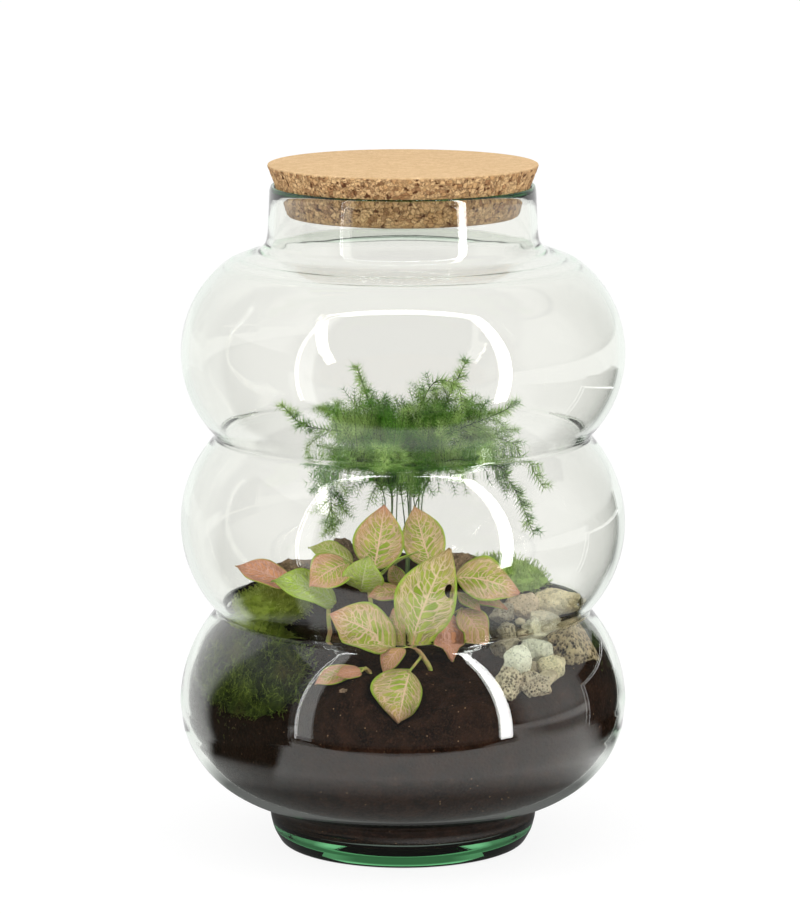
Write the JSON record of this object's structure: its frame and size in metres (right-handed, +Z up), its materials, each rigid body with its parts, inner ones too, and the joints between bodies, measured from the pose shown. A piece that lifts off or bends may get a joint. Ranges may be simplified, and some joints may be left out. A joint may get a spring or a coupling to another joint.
{
  "type": "glass plant terrarium",
  "caption": "Closed glass jar of stacked round bulbs on a foot, with a tapered cork stopper, planted with a netted-leaf plant, a fern, moss, bark and stones in soil.",
  "frame": {"origin": "centre of the flat underside of the jar's foot, on the surface that the jar stands on", "axes": "+Z up along the jar's axis, -Y the front that the picture shows, +X to the right seen from the front"},
  "size_m": [0.196, 0.196, 0.3],
  "materials": {
    "glass": "clear blown glass with a faint green tint, deeper green in the thick foot",
    "cork": "pressed cork granules, matte, with dark crevices on the side",
    "soil": "moist dark potting soil with fine fibres, matte",
    "stone": "dry cream to grey pebbles, some porous, matte",
    "bark": "crumbly grey-brown bark, matte",
    "moss": "short dense cushion moss, matte",
    "netted_leaf": "yellow-green leaves with a pale pink net of veins, soft sheen",
    "fern": "fresh green needles on wiry stems, matte"
  },
  "bodies": {
    "root": {"glass_jar": "glass", "cork_stopper": "cork", "soil": "soil", "stone_long": "stone", "stone_porous": "stone", "stone_reddish": "stone", "stone_grey": "stone", "stone_slab": "stone", "stone_pale": "stone", "stone_round": "stone", "stone_green": "stone", "stone_oval": "stone", "stone_angular": "stone", "stone_low": "stone", "stone_flake": "stone", "bark_left": "bark", "bark_middle": "bark", "bark_right": "bark", "bark_chip": "bark", "moss_front_left": "moss", "moss_left_mound": "moss", "moss_back_right": "moss", "moss_right_edge": "moss", "nerve_plant_front": "netted_leaf", "nerve_plant_middle": "netted_leaf", "nerve_plant_centre": "netted_leaf", "nerve_plant_right": "netted_leaf", "nerve_plant_left": "netted_leaf", "nerve_plant_low": "netted_leaf", "fern_frond_left_tip": "fern", "fern_frond_front_left": "fern", "fern_frond_front": "fern", "fern_frond_front_right": "fern", "fern_frond_right_tip": "fern", "fern_frond_right_droop": "fern", "fern_frond_right_low": "fern", "fern_frond_upright_left": "fern", "fern_frond_curl": "fern", "fern_frond_upright_right": "fern", "fern_frond_back_left": "fern", "fern_frond_back_right": "fern", "fern_frond_low_left": "fern"}
  },
  "joints": []
}
